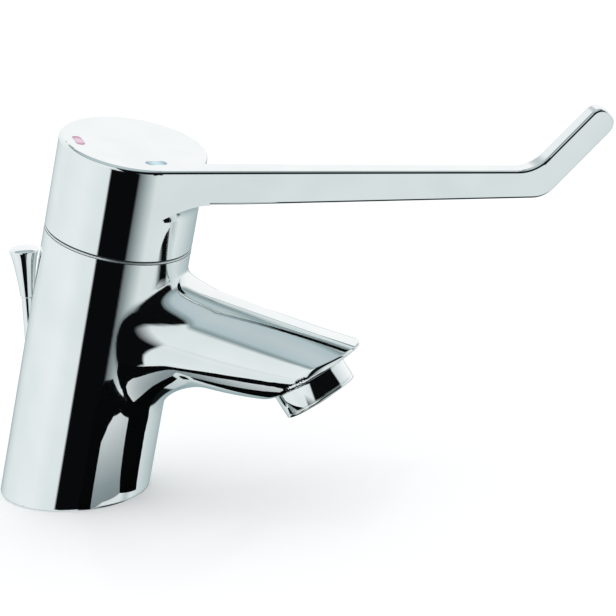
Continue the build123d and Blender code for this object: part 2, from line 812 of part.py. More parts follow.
# Aerator insert: the plastic jet plate behind the screen
with BuildPart() as aerator_insert:
    with BuildSketch(spout_end.offset(screen_level - screen_h)):
        Circle(collar_bore_r - fit_gap)
    extrude(amount=-insert_len)
    with BuildSketch(spout_end.offset(screen_level - screen_h)):
        with PolarLocations(outer_jets_r, outer_jets):
            Circle(jet_r)
        with PolarLocations(inner_jets_r, inner_jets):
            Circle(jet_r)
    extrude(amount=-insert_len, mode=Mode.SUBTRACT)
aerator_insert.part.label = "aerator_insert"
export_step(aerator_insert.part, "parts/aerator_insert.step")

# Pop-up knob: a slim cone with a slightly domed top, behind the body
rod_axis = Axis((0, rod_back, 0), (0, 0, 1))
rod_side = Plane(origin=(0, rod_back, 0), x_dir=(1, 0, 0), z_dir=(0, -1, 0))
knob_top = knob_foot + knob_h
with BuildPart() as popup_knob:
    with BuildSketch(rod_side):
        with BuildLine():
            Polyline((0, knob_top), (0, knob_foot), (knob_foot_r, knob_foot))
            Line((knob_foot_r, knob_foot), (knob_top_r, knob_top - knob_dome_h))
            TangentArc((0, knob_top), (knob_top_r, knob_top - knob_dome_h), tangent=(1, 0))
        make_face()
    revolve(axis=rod_axis)
    with BuildSketch(Plane(origin=(0, rod_back, knob_foot))):
        Circle(rod_r)
    extrude(amount=knob_bore_len, mode=Mode.SUBTRACT)
popup_knob.part.label = "popup_knob"
export_step(popup_knob.part, "parts/popup_knob.step")

# Pop-up rod: from the knob down through the body's back, with a groove for its clip
clip_top = bush_foot - bush_flange_h - popup_travel
with BuildPart() as popup_rod:
    with BuildSketch(Plane(origin=(0, rod_back, rod_foot))):
        Circle(rod_r)
    extrude(amount=knob_foot + knob_bore_len - rod_foot - fit_gap)
    with BuildSketch(Plane(origin=(0, rod_back, clip_top - clip_h))):
        Circle(rod_r)
        Circle(clip_groove_r, mode=Mode.SUBTRACT)
    extrude(amount=clip_h, mode=Mode.SUBTRACT)
popup_rod.part.label = "popup_rod"
export_step(popup_rod.part, "parts/popup_rod.step")

# Rod clip: the retaining ring that stops the rod at the top of its travel
with BuildPart() as rod_clip:
    with BuildSketch(Plane(origin=(0, rod_back, clip_top - clip_h))):
        Circle(clip_r)
        Circle(clip_groove_r, mode=Mode.SUBTRACT)
    extrude(amount=clip_h)
rod_clip.part.label = "rod_clip"
export_step(rod_clip.part, "parts/rod_clip.step")

# Rod guide bush: the plastic sleeve in the body's back, flanged inside the base
with BuildPart() as rod_guide_bush:
    with BuildSketch(Plane(origin=(0, rod_back, bush_foot))):
        Circle(bush_r)
    extrude(amount=bush_top - bush_foot)
    with BuildSketch(Plane(origin=(0, rod_back, bush_foot))):
        Circle(bush_flange_r)
    extrude(amount=-bush_flange_h)
    with BuildSketch(Plane(origin=(0, rod_back, bush_foot - bush_flange_h))):
        Circle(rod_r + run_gap)
    extrude(amount=bush_top - bush_foot + bush_flange_h, mode=Mode.SUBTRACT)
rod_guide_bush.part.label = "rod_guide_bush"
export_step(rod_guide_bush.part, "parts/rod_guide_bush.step")
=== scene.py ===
from math import cos, pi, radians, sin, sqrt, tan

import bmesh
import bpy
import numpy as np
from mathutils import Matrix, Vector


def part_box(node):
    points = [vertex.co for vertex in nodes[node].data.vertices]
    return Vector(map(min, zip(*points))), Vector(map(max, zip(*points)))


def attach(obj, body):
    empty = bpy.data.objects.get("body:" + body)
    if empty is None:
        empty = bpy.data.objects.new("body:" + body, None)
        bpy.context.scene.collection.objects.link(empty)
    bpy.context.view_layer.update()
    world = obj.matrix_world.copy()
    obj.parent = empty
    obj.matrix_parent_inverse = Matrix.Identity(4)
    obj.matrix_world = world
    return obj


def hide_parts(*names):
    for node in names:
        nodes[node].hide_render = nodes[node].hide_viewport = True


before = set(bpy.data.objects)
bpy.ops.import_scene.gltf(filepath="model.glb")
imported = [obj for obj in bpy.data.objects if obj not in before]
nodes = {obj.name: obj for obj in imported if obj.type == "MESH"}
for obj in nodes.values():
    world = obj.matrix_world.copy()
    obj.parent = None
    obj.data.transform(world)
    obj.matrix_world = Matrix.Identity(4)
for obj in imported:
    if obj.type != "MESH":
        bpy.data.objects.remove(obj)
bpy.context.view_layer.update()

scene = bpy.context.scene
scene.view_settings.view_transform = "Standard"

# The camera: a long lens a little above the tap and to the right of its spout, slightly rolled.
# It is placed by where the middle of the tap's base lies in front of the lens.
camera_azimuth = radians(-70.0)
camera_elevation = radians(17.64)
camera_roll = radians(-3.27)
base_from_lens = Vector((-0.07699, -0.05887, -1.3211))
frame_px = 616
focal_px = 4000.0
camera_data = bpy.data.cameras.new("camera")
camera_data.sensor_width = 36.0
camera_data.lens = focal_px / frame_px * camera_data.sensor_width
camera_data.clip_start = 0.01
camera_data.clip_end = 50.0
camera = bpy.data.objects.new("camera", camera_data)
scene.collection.objects.link(camera)
camera_turn = (
    Matrix.Rotation(camera_azimuth, 4, "Z")
    @ Matrix.Rotation(pi / 2 - camera_elevation, 4, "X")
    @ Matrix.Rotation(camera_roll, 4, "Z")
)
camera.matrix_world = Matrix.Translation(-(camera_turn @ base_from_lens)) @ camera_turn
scene.camera = camera


# The light tent: a pale table, pale cloth walls with one side black, and a grey roof, which draw
# the bright and dark lines in polished metal. Only mirrors see it; its even white lights the rest.
def linear_colour(srgb_hex):
    """An sRGB hex colour as the linear values that a shader takes."""
    channels = [int(srgb_hex[i : i + 2], 16) / 255 for i in (0, 2, 4)]
    return (*[c / 12.92 if c <= 0.04045 else ((c + 0.055) / 1.055) ** 2.4 for c in channels], 1.0)


def add_node(tree, kind, inputs=None, stops=(), **properties):
    """Add a node, set its properties and colour stops, and give its sockets values or links."""
    node = tree.nodes.new(kind)
    for name, value in properties.items():
        setattr(node, name, value)
    for socket, value in (inputs or {}).items():
        if isinstance(value, bpy.types.NodeSocket):
            tree.links.new(value, node.inputs[socket])
        else:
            node.inputs[socket].default_value = value
    for i, (place, colour) in enumerate(stops):
        elements = node.color_ramp.elements
        while i == 0 and len(elements) > 1:
            elements.remove(elements[0])
        stop = elements[0] if i == 0 else elements.new(place)
        stop.position = place
        stop.color = linear_colour(colour)
    return node


tent = bpy.data.worlds.new("light_tent")
scene.world = tent
tent.use_nodes = True
tree = tent.node_tree
tree.nodes.clear()
ray = add_node(tree, "ShaderNodeTexCoord").outputs["Generated"]
turned = add_node(
    tree, "ShaderNodeVectorRotate", {"Vector": ray, "Angle": -camera_azimuth}, rotation_type="Z_AXIS"
).outputs[0]
parts = add_node(tree, "ShaderNodeSeparateXYZ", {0: turned}).outputs
forward = add_node(tree, "ShaderNodeMath", {0: parts["Y"], 1: -1.0}, operation="MULTIPLY").outputs[0]
azimuth = add_node(tree, "ShaderNodeMath", {0: parts["X"], 1: forward}, operation="ARCTAN2").outputs[0]
height = add_node(tree, "ShaderNodeMath", {0: parts["Z"]}, operation="ARCSINE").outputs[0]
turn_share = add_node(tree, "ShaderNodeMapRange", {0: azimuth, 1: -pi, 2: pi}).outputs[0]

# Colours round the tap, by degrees from the lens's side: on the table, on the walls, and close by
table_side = [
    (-180, "93A7AA"), (-164, "A6B7BA"), (-148, "C9D4D6"), (-128, "E3EAEB"), (-104, "EBF1F1"),
    (-72, "F1F5F6"), (-52, "E8EEEF"), (-35, "E6ECED"), (-32.6, "0A0B0C"), (9, "0A0B0C"), (12, "6E7678"),
    (26, "AFB9BB"), (41, "DFE6E7"), (78, "E2E8E9"), (90, "BCC6C8"), (102, "E2E9EA"), (180, "93A7AA"),
]
wall_side = [
    (-180, "FFFFFF"), (-110, "EDF2F3"), (-36, "EEF3F4"), (-14, "E2E9EA"), (-10, "0A0B0C"), (78, "0A0B0C"),
    (83, "D8E0E2"), (140, "FFFFFF"), (180, "FFFFFF"),
]
foot_side = [
    (-180, "C4CED0"), (-60, "E6ECED"), (40, "E6ECED"), (58, "101415"), (176, "101415"), (180, "C4CED0"),
]
rings = []
for side in (table_side, wall_side, foot_side):
    around = [((angle + 180) / 360, colour) for angle, colour in side]
    rings.append(add_node(tree, "ShaderNodeValToRGB", {0: turn_share}, stops=around).outputs["Color"])
table_colour, wall_colour, foot_colour = rings

# From the foot upward: each layer fades in between two height angles
layers = [
    (-54, -49, table_colour), (-16, 0, wall_colour), (43, 51, linear_colour("8E9EA1")),
    (53, 62, linear_colour("B9C8CD")), (64, 85, linear_colour("C3CED1")),
]
tent_colour = foot_colour
for low, high, colour in layers:
    share = add_node(tree, "ShaderNodeMapRange", {0: height, 1: radians(low), 2: radians(high)}).outputs[0]
    tent_colour = add_node(
        tree, "ShaderNodeMix", {0: share, 6: tent_colour, 7: colour}, data_type="RGBA"
    ).outputs[2]
mirrored = add_node(tree, "ShaderNodeBackground", {"Color": tent_colour, "Strength": 1.05}).outputs[0]
even_white = linear_colour("F2F4F5")
even = add_node(tree, "ShaderNodeBackground", {"Color": even_white, "Strength": 0.92}).outputs[0]
seen = add_node(tree, "ShaderNodeBackground", {"Color": (1, 1, 1, 1), "Strength": 1.0}).outputs[0]
path = add_node(tree, "ShaderNodeLightPath").outputs
lit = add_node(tree, "ShaderNodeMixShader", {0: path["Is Glossy Ray"], 1: even, 2: mirrored}).outputs[0]
for_lens = add_node(tree, "ShaderNodeMixShader", {0: path["Is Camera Ray"], 1: lit, 2: seen}).outputs[0]
add_node(tree, "ShaderNodeOutputWorld", {"Surface": for_lens})

# The table: a wide sheet of white paper under the tap, with one large soft lamp hung above it.
# It takes the tap's faint shadow, and its white is lifted a little for the lens alone.
table_half = 3.0
fibres_per_m = 900.0
corners = [(x * table_half, y * table_half, 0) for x, y in ((-1, -1), (1, -1), (1, 1), (-1, 1))]
table_mesh = bpy.data.meshes.new("table")
table_mesh.from_pydata(corners, [], [(0, 1, 2, 3)])
table = bpy.data.objects.new("table", table_mesh)
scene.collection.objects.link(table)
table.visible_glossy = False
paper = bpy.data.materials.new("white_paper")
paper.use_nodes = True
tree = paper.node_tree
shader = tree.nodes["Principled BSDF"]
place = add_node(tree, "ShaderNodeTexCoord").outputs["Object"]
fibre = add_node(tree, "ShaderNodeTexNoise", {"Vector": place, "Scale": fibres_per_m}).outputs[0]
rough = add_node(tree, "ShaderNodeMapRange", {0: fibre, 3: 0.85, 4: 0.95}).outputs[0]
seen_share = add_node(tree, "ShaderNodeLightPath").outputs["Is Camera Ray"]
whitened = add_node(tree, "ShaderNodeMath", {0: seen_share, 1: 0.16}, operation="MULTIPLY").outputs[0]
tree.links.new(rough, shader.inputs["Roughness"])
tree.links.new(whitened, shader.inputs["Emission Strength"])
shader.inputs["Base Color"].default_value = linear_colour("FFFFFF")
shader.inputs["Emission Color"].default_value = (1, 1, 1, 1)
table_mesh.materials.append(paper)

softbox_data = bpy.data.lights.new("softbox", "AREA")
softbox_data.energy = 3.0
softbox_data.size = 2.2
softbox = bpy.data.objects.new("softbox", softbox_data)
scene.collection.objects.link(softbox)
softbox.matrix_world = Matrix.Translation((0.1, 0.2, 1.3))
softbox.visible_glossy = False

# Cards on the table: black ones under the far side of the spout and by the body, and between them a
# grey one that fades to white. Only mirrors see them: they draw the dark lines low on the front.
mm = 0.001
card_lift = 0.4
black_paper = ("0A0B0C", "0A0B0C")
fading_paper = ("B4C0C3", "F4F6F6")
cards = {
    "black_card": (black_paper, [
        (-13, -26), (-17, -56), (-19, -80), (-19, -106), (44, -106), (44, -80), (15, -54), (-4, -27),
    ]),
    "black_wedge": (black_paper, [
        (-22, -10), (-80, -42), (-86, -60), (-70, -72), (-18, -76), (-17.5, -66), (-34, -66), (-44, -60),
        (-47, -52), (-46, -42), (-20, -13.5),
    ]),
    "grey_card": (fading_paper, [
        (-20, -13.5), (-46, -42), (-47, -52), (-44, -60), (-34, -66), (-17.5, -66), (-17, -56), (-13, -26),
        (-19, -19),
    ]),
}
for name, (tones, outline) in cards.items():
    card_mesh = bpy.data.meshes.new(name)
    card_points = [(x * mm, y * mm, card_lift * mm) for x, y in outline]
    card_mesh.from_pydata(card_points, [], [tuple(range(len(outline)))])
    card = bpy.data.objects.new(name, card_mesh)
    scene.collection.objects.link(card)
    card.visible_camera = False
    card.visible_diffuse = False
    card.visible_shadow = False
    card_paper = bpy.data.materials.new(name + "_paper")
    card_paper.use_nodes = True
    tree = card_paper.node_tree
    shader = tree.nodes["Principled BSDF"]
    place = add_node(tree, "ShaderNodeTexCoord").outputs["Object"]
    from_tap = add_node(tree, "ShaderNodeVectorMath", {0: place}, operation="LENGTH").outputs["Value"]
    faded = add_node(tree, "ShaderNodeMapRange", {0: from_tap, 1: 36 * mm, 2: 70 * mm}).outputs[0]
    tone = add_node(tree, "ShaderNodeValToRGB", {0: faded}, stops=list(zip((0.0, 1.0), tones)))
    tree.links.new(tone.outputs["Color"], shader.inputs["Base Color"])
    shader.inputs["Roughness"].default_value = 1.0
    shader.inputs["Specular IOR Level"].default_value = 0.0
    card_mesh.materials.append(card_paper)


# The tap body: one hollow brass casting, ground, buffed and chromed. A leaning round bar and an
# oval spout run into each other through a hollow curve, tight at the crown and wide below it.
# Its outside is one smooth field, so mirrored lines flow; its passages stay as they are.
lean = radians(14.0)
body_r = 24.0
body_top = 90.19
base_edge_r = 0.8
spout_reach = 101.0
spout_tip_r = 17.5
spout_lip_z = 53.6
spout_slope = tan(radians(17.4))
spout_crown_z = 54.3
spout_end_tilt = radians(31.0)
crown_root_r = 4.0
side_root_r = 20.0
spout_start = 6.0
side_edge_r = 1.6
tip_edge_r = 0.5
voxel = 0.8
axis_dir = np.array([0.0, -sin(lean), cos(lean)])
end_normal = np.array([0.0, -sin(spout_end_tilt), -cos(spout_end_tilt)])
end_point = np.array([0.0, -spout_reach, spout_lip_z])
waist_share = 0.46
half_widths = [
    (22, 18.5), (32, 18.2), (42, 17.95), (50, 17.8), (57, 17.65), (71, 17.3), (87, 16.9), (105, 16.3),
]
belly_heights = [(30, 41.6), (42, 40.3), (57, 37.7), (71, 36.0), (87, 37.0), (105, 41.3)]
width_line = np.polyfit(*zip(*half_widths), 2)
belly_line = np.polyfit(*zip(*belly_heights), 4)


def ease(low, high, value):
    """Nought at one value, one at another, smooth at both."""
    share = np.clip((value - low) / (high - low), 0.0, 1.0)
    return share * share * (3.0 - 2.0 * share)


def oval_field(p):
    """Below zero inside the spout's ovals, whose width, crown and belly follow the reach."""
    reach = np.clip(-p[:, 1], 15.0, 108.0)
    half_w = np.polyval(width_line, reach)
    crown = spout_crown_z + (spout_reach + p[:, 1]) * spout_slope
    belly = np.polyval(belly_line, reach)
    waist = belly + waist_share * (crown - belly)
    up = p[:, 2] - waist
    half_h = np.where(up > 0, crown - waist, waist - belly)
    half_h = np.maximum(half_h, 0.5)
    return np.hypot(p[:, 0] / half_w, up / half_h) - 1.0


def slope_of(field, p, step=0.02):
    """How fast a field grows along x, y and z at each point."""
    parts = []
    for i in range(3):
        shift = np.zeros(3)
        shift[i] = step
        parts.append((field(p + shift) - field(p - shift)) / (2.0 * step))
    return np.stack(parts, axis=1)


def meet(a, b, radius):
    """Inside both, with the edge between them rounded."""
    corner = np.hypot(np.maximum(a + radius, 0.0), np.maximum(b + radius, 0.0))
    return np.minimum(-radius, np.maximum(a, b)) + corner


def join(a, b, cosine, radius):
    """Inside either, with the hollow that a ball rolled along both would leave."""
    sine_2 = np.maximum(1.0 - cosine**2, 0.02)
    u = radius - a
    v = radius - b
    ball = radius - np.sqrt(np.maximum(u**2 + v**2 - 2.0 * u * v * cosine, 0.0) / sine_2)
    return np.where(u <= v * cosine, b, np.where(v <= u * cosine, a, ball))


def body_field(p):
    """About the distance in mm outside the body's skin."""
    along = p @ axis_dir
    radial = p - along[:, None] * axis_dir
    from_axis = np.maximum(np.linalg.norm(radial, axis=1), 1e-6)
    oval_slope = slope_of(oval_field, p)
    steepness = np.maximum(np.linalg.norm(oval_slope, axis=1), 0.01)
    cosine = (radial * oval_slope).sum(axis=1) / (from_axis * steepness)
    inside_bar = p[:, 1] + p[:, 2] * tan(lean) + spout_start
    spout = np.maximum(oval_field(p) / steepness, inside_bar)
    root_r = crown_root_r + (side_root_r - crown_root_r) * ease(78.0, 64.0, p[:, 2])
    body = join(from_axis - body_r, spout, cosine, root_r)
    forward = np.maximum(-p[:, 1] - spout_reach + spout_tip_r, 0.0)
    tip = np.hypot(forward, p[:, 0]) - spout_tip_r
    tip = np.where(-p[:, 1] > spout_reach - spout_tip_r, tip, -spout_tip_r)
    end = (p - end_point) @ end_normal
    end = np.where(-p[:, 1] > body_r + side_root_r, end, -side_root_r)
    edge_r = tip_edge_r + (side_edge_r - tip_edge_r) * ease(99.0, 88.0, -p[:, 1])
    return meet(meet(body, tip, tip_edge_r), end, edge_r)


def settle(p, rounds):
    """Move points along the field's slope until they lie on the skin."""
    for _ in range(rounds):
        slope = slope_of(body_field, p)
        move = -(body_field(p) / np.maximum((slope**2).sum(axis=1), 0.05))[:, None] * slope
        length = np.linalg.norm(move, axis=1)
        p = p + move * np.minimum(1.0, 1.5 / np.maximum(length, 1e-9))[:, None]
    return p


# A rough form of even squares, a little larger all round, which then settles on the skin
form_spare = 0.6
form_past_end = 1.4
bar_len = 112.0
bar_past_top = 4.0
bar_form = bmesh.new()
bmesh.ops.create_cone(
    bar_form, cap_ends=True, segments=96,
    radius1=body_r + form_spare, radius2=body_r + form_spare, depth=bar_len,
    matrix=Matrix.Rotation(lean, 4, "X") @ Matrix.Translation((0, 0, body_top + bar_past_top - bar_len / 2)),
)
bmesh.ops.bisect_plane(
    bar_form, geom=bar_form.verts[:] + bar_form.edges[:] + bar_form.faces[:],
    plane_co=(0, 0, -3.0), plane_no=(0, 0, -1), clear_outer=True,
)
bmesh.ops.holes_fill(bar_form, edges=[edge for edge in bar_form.edges if edge.is_boundary])
spout_form = bmesh.new()
ring_count = 44
last_ring = None
turns = [2 * pi * i / ring_count for i in range(ring_count)]
for reach in np.linspace(20.0, spout_reach + form_past_end, 40):
    past = max(reach - form_past_end - spout_reach + spout_tip_r, 0.0)
    half_w = min(np.polyval(width_line, reach), sqrt(max(spout_tip_r**2 - past**2, 9.0))) + form_spare
    crown = spout_crown_z + (spout_reach - reach) * spout_slope + 0.7
    cut = spout_lip_z - (spout_reach - reach) * tan(spout_end_tilt) - 2 * form_spare
    low = max(np.polyval(belly_line, reach) - form_spare, cut)
    middle = (crown + low) / 2
    half_h = (crown - low) / 2
    ring = [spout_form.verts.new((half_w * sin(t), -reach, middle + half_h * cos(t))) for t in turns]
    if last_ring is None:
        spout_form.faces.new(ring)
    else:
        for i in range(ring_count):
            j = (i + 1) % ring_count
            spout_form.faces.new((last_ring[i], last_ring[j], ring[j], ring[i]))
    last_ring = ring
spout_form.faces.new(last_ring[::-1])
forms = []
for name, form in (("bar_form", bar_form), ("spout_form", spout_form)):
    bmesh.ops.recalc_face_normals(form, faces=form.faces)
    form_mesh = bpy.data.meshes.new(name)
    form.to_mesh(form_mesh)
    form.free()
    forms.append(bpy.data.objects.new(name, form_mesh))
    scene.collection.objects.link(forms[-1])
union = forms[0].modifiers.new("one_form", "BOOLEAN")
union.operation = "UNION"
union.solver = "EXACT"
union.object = forms[1]
remesh = forms[0].modifiers.new("even_squares", "REMESH")
remesh.mode = "VOXEL"
remesh.voxel_size = voxel
depsgraph = bpy.context.evaluated_depsgraph_get()
skin_mesh = bpy.data.meshes.new_from_object(forms[0].evaluated_get(depsgraph))
for form in forms:
    bpy.data.objects.remove(form)
skin_points = np.empty(len(skin_mesh.vertices) * 3)
skin_mesh.vertices.foreach_get("co", skin_points)
skin_points = settle(skin_points.reshape(-1, 3), 12)
skin_mesh.vertices.foreach_set("co", skin_points.ravel())
skin_mesh.update()


def open_mouth(skin, start, direction, radius, reach):
    """Cut a round mouth in the skin: drop the squares inside, and pull the edge to the circle."""
    line = Vector(direction).normalized()
    start = Vector(start)

    def away(co):
        along = (co - start).dot(line)
        return (co - start) - line * along, along

    inside = []
    for vert in skin.verts:
        across, along = away(vert.co)
        if across.length < radius and abs(along) < reach:
            inside.append(vert)
    bmesh.ops.delete(skin, geom=inside, context="VERTS")
    for vert in skin.verts:
        if vert.is_boundary:
            across, along = away(vert.co)
            if across.length < radius + voxel * 2.2 and abs(along) < reach + voxel * 2:
                vert.co += across * (radius / across.length - 1.0)


# Three times as fine round the spout's end, where the edge turns over in a millimetre or two
end_zone = 3.2
skin = bmesh.new()
skin.from_mesh(skin_mesh)
end_edges = []
for edge in skin.edges:
    point = (edge.verts[0].co + edge.verts[1].co) / 2
    to_end = (np.array(point[:]) - end_point) @ end_normal
    if -point.y > 60.0 and to_end > -end_zone:
        end_edges.append(edge)
bmesh.ops.subdivide_edges(skin, edges=end_edges, cuts=2, use_grid_fill=True)
for vert, point in zip(skin.verts, settle(np.array([vert.co[:] for vert in skin.verts]), 8)):
    vert.co = point
rod_low, rod_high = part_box("popup_rod")
rod_back = (rod_low.y + rod_high.y) / 2 / mm
rod_mouth_r = 2.5
rod_mouth_z = 62.0
for point, outward in (((0, 0, base_edge_r), (0, 0, -1)), (axis_dir * body_top, axis_dir)):
    bmesh.ops.bisect_plane(
        skin, geom=skin.verts[:] + skin.edges[:] + skin.faces[:],
        plane_co=point, plane_no=outward, clear_outer=True, dist=0.001,
    )
open_mouth(skin, (0, rod_back, rod_mouth_z), (0, 0, 1), rod_mouth_r, 30.0)

# The ridge along the crown: a flat band that narrows to the tip, with crisp edges
ridge_top_z = 54.8
ridge_start = 33.4
ridge_start_half_w = 4.5
ridge_end_half_w = 2.3
ridge_tip_half_w = 2.35
ridge_depth = 3.0
ridge_tip_depth = 1.2
ridge_edge = 0.28
tip_reach = spout_reach - spout_tip_r + sqrt(spout_tip_r**2 - ridge_tip_half_w**2)
ridge_stations = []
for reach in (38.0, 45.0, 60.0, 75.0, 88.0, 97.0):
    share = (reach - ridge_start) / (spout_reach - ridge_start)
    half_w = ridge_start_half_w + (ridge_end_half_w - ridge_start_half_w) * share
    ridge_stations.append((reach, half_w, ridge_depth))
ridge_stations.append((tip_reach, ridge_tip_half_w, ridge_tip_depth))
ridge = []
for reach, half_w, depth in ridge_stations:
    top = ridge_top_z + (spout_reach - reach) * spout_slope
    corners = ((-1, depth), (-1, 0), (1, 0), (1, depth))
    ridge.append([(side * half_w, -reach, top - drop) for side, drop in corners])
ridge_form = bmesh.new()
ridge_rings = [[ridge_form.verts.new(point) for point in points] for points in ridge]
for first, second in zip(ridge_rings, ridge_rings[1:]):
    for i in range(4):
        j = (i + 1) % 4
        ridge_form.faces.new((first[i], first[j], second[j], second[i]))
ridge_form.faces.new(ridge_rings[0])
ridge_form.faces.new(ridge_rings[-1][::-1])
bmesh.ops.recalc_face_normals(ridge_form, faces=ridge_form.faces)
top_edges = [
    e for e in ridge_form.edges
    if all(v.co.z > ridge_top_z + (spout_reach + v.co.y) * spout_slope - 0.05 for v in e.verts)
    and abs(e.verts[0].co.x + e.verts[1].co.x) > 1.0
]
bmesh.ops.bevel(ridge_form, geom=top_edges, offset=ridge_edge, segments=3, profile=0.5, affect="EDGES")
ridge_mesh = bpy.data.meshes.new("ridge_form")
ridge_form.to_mesh(ridge_mesh)
ridge_form.free()

# The passages, sockets and flat rims of the casting, taken over from the solid
passages = bmesh.new()
passages.from_mesh(nodes["tap_body"].data)
for vert in passages.verts:
    vert.co /= mm
bmesh.ops.remove_doubles(passages, verts=passages.verts, dist=0.0005)
centres = np.array([face.calc_center_median()[:] for face in passages.faces])
normals = np.array([face.normal[:] for face in passages.faces])
field = body_field(centres)
growth = slope_of(body_field, centres)
growth /= np.maximum(np.linalg.norm(growth, axis=1), 1e-6)[:, None]
facing = (growth * normals).sum(axis=1)
base_rim = (centres[:, 2] < 0.01) & (normals[:, 2] < -0.99)
top_rim = (np.abs(centres @ axis_dir - body_top) < 0.02) & (normals @ axis_dir > 0.99)
on_spout = (centres[:, 2] > 40.0) & (centres[:, 1] < -26.0)
outside = ((field > -1.6) & (facing > 0.55)) | (on_spout & (field > -0.5))
outside &= ~(base_rim | top_rim | (centres[:, 2] < base_edge_r))
doomed = [face for face, gone in zip(passages.faces, outside) if gone]
bmesh.ops.delete(passages, geom=doomed, context="FACES")
passage_mesh = bpy.data.meshes.new("passages")
passages.to_mesh(passage_mesh)
passages.free()

skin.from_mesh(ridge_mesh)
skin.from_mesh(passage_mesh)
bmesh.ops.scale(skin, vec=(mm, mm, mm), verts=skin.verts)
for face in skin.faces:
    face.smooth = True
body_mesh = bpy.data.meshes.new("tap_body_casting")
skin.to_mesh(body_mesh)
skin.free()
body_mesh.set_sharp_from_angle(angle=radians(32))
tap_body = bpy.data.objects.new("tap_body_casting", body_mesh)
scene.collection.objects.link(tap_body)

# Chrome plate over buffed brass: a cool mirror with faint waves left by the buffing wheel
chrome = bpy.data.materials.new("polished_chrome_plate")
chrome.use_nodes = True
tree = chrome.node_tree
shader = tree.nodes["Principled BSDF"]
place = add_node(tree, "ShaderNodeTexCoord").outputs["Object"]
buff_wave_mm = 14.0
wipe_mark_mm = 2.5
buff_wave_depth_mm = 0.012
waves = add_node(
    tree, "ShaderNodeTexNoise", {"Vector": place, "Scale": 1000 / buff_wave_mm, "Detail": 1.0}
).outputs[0]
wipes = add_node(
    tree, "ShaderNodeTexNoise", {"Vector": place, "Scale": 1000 / wipe_mark_mm, "Detail": 4.0}
).outputs[0]
gloss = add_node(tree, "ShaderNodeMapRange", {0: wipes, 1: 0.35, 2: 0.7, 3: 0.02, 4: 0.045}).outputs[0]
plate = add_node(tree, "ShaderNodeValToRGB", {0: waves}, stops=[(0.3, "E9EDED"), (0.7, "EFF2F2")])
ripple = add_node(
    tree, "ShaderNodeBump", {"Height": waves, "Strength": 1.0, "Distance": buff_wave_depth_mm * mm}
).outputs[0]
tree.links.new(plate.outputs["Color"], shader.inputs["Base Color"])
tree.links.new(gloss, shader.inputs["Roughness"])
tree.links.new(ripple, shader.inputs["Normal"])
shader.inputs["Metallic"].default_value = 1.0
body_mesh.materials.append(chrome)
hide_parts("tap_body")
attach(tap_body, "root")


# Glide ring and dome cover: the moulded ring that the head turns on, and the chromed brass dome
# under it. They close the gap between head and body, where only a thin line of them shows.
nodes["dome_cover"].material_slots[0].material = chrome

# Moulded plastics: a soft satin with a fine grain, black, natural white, and grey with glass fibre
acetal_grain_mm = 0.6
acetals = {}
for name, low, high in (
    ("black_acetal_moulded", "15171A", "1F2225"),
    ("natural_acetal_moulded", "E4E3DC", "EDECE6"),
    ("grey_glass_filled_nylon", "83898F", "979DA3"),
):
    plastic = bpy.data.materials.new(name)
    plastic.use_nodes = True
    tree = plastic.node_tree
    shader = tree.nodes["Principled BSDF"]
    place = add_node(tree, "ShaderNodeTexCoord").outputs["Object"]
    grain = add_node(
        tree, "ShaderNodeTexNoise", {"Vector": place, "Scale": 1000 / acetal_grain_mm, "Detail": 3.0}
    ).outputs[0]
    tint = add_node(tree, "ShaderNodeValToRGB", {0: grain}, stops=[(0.35, low), (0.65, high)])
    rough = add_node(tree, "ShaderNodeMapRange", {0: grain, 3: 0.34, 4: 0.5}).outputs[0]
    bump = add_node(tree, "ShaderNodeBump", {"Height": grain, "Distance": 0.02 * mm}).outputs[0]
    tree.links.new(tint.outputs["Color"], shader.inputs["Base Color"])
    tree.links.new(rough, shader.inputs["Roughness"])
    tree.links.new(bump, shader.inputs["Normal"])
    shader.inputs["IOR"].default_value = 1.48
    acetals[name] = plastic

# The ring is black, with a thin band of bright metal painted round its foot, where it meets the body: a
# painted highlight that stands in for the bright chamfered top edge of the body
glide_material = acetals["black_acetal_moulded"].copy()
glide_material.name = "black_acetal_with_painted_highlight"
tree = glide_material.node_tree
shader = tree.nodes["Principled BSDF"]
place = add_node(tree, "ShaderNodeTexCoord").outputs["Object"]
level = add_node(
    tree, "ShaderNodeVectorMath", {0: place, 1: tuple(axis_dir)}, operation="DOT_PRODUCT"
).outputs["Value"]
band_foot = (body_top + 0.22) * mm
band_top = (body_top + 0.72) * mm
over_foot = add_node(tree, "ShaderNodeMath", {0: level, 1: band_foot}, operation="GREATER_THAN").outputs[0]
under_top = add_node(tree, "ShaderNodeMath", {0: level, 1: band_top}, operation="LESS_THAN").outputs[0]
band = add_node(tree, "ShaderNodeMath", {0: over_foot, 1: under_top}, operation="MULTIPLY").outputs[0]
plain = shader.inputs["Base Color"].links[0].from_socket
# Painted highlight: a band of bright metal on the black ring, in place of the body edge's highlight
painted_highlight_metal = linear_colour("DDE3E4")
highlight_painted_colour = add_node(tree, "ShaderNodeMix", {0: band, 6: plain, 7: painted_highlight_metal}, data_type="RGBA").outputs[2]
tree.links.new(highlight_painted_colour, shader.inputs["Base Color"])
tree.links.new(band, shader.inputs["Metallic"])
nodes["glide_ring"].material_slots[0].material = glide_material


# Lever handle: head and long elbow arm in one brass casting, buffed and chromed like the body. It is
# fixed to the stem by a grub screw, behind a round plug in the head's far side.
nodes["lever_handle"].material_slots[0].material = chrome
nodes["screw_plug"].material_slots[0].material = chrome
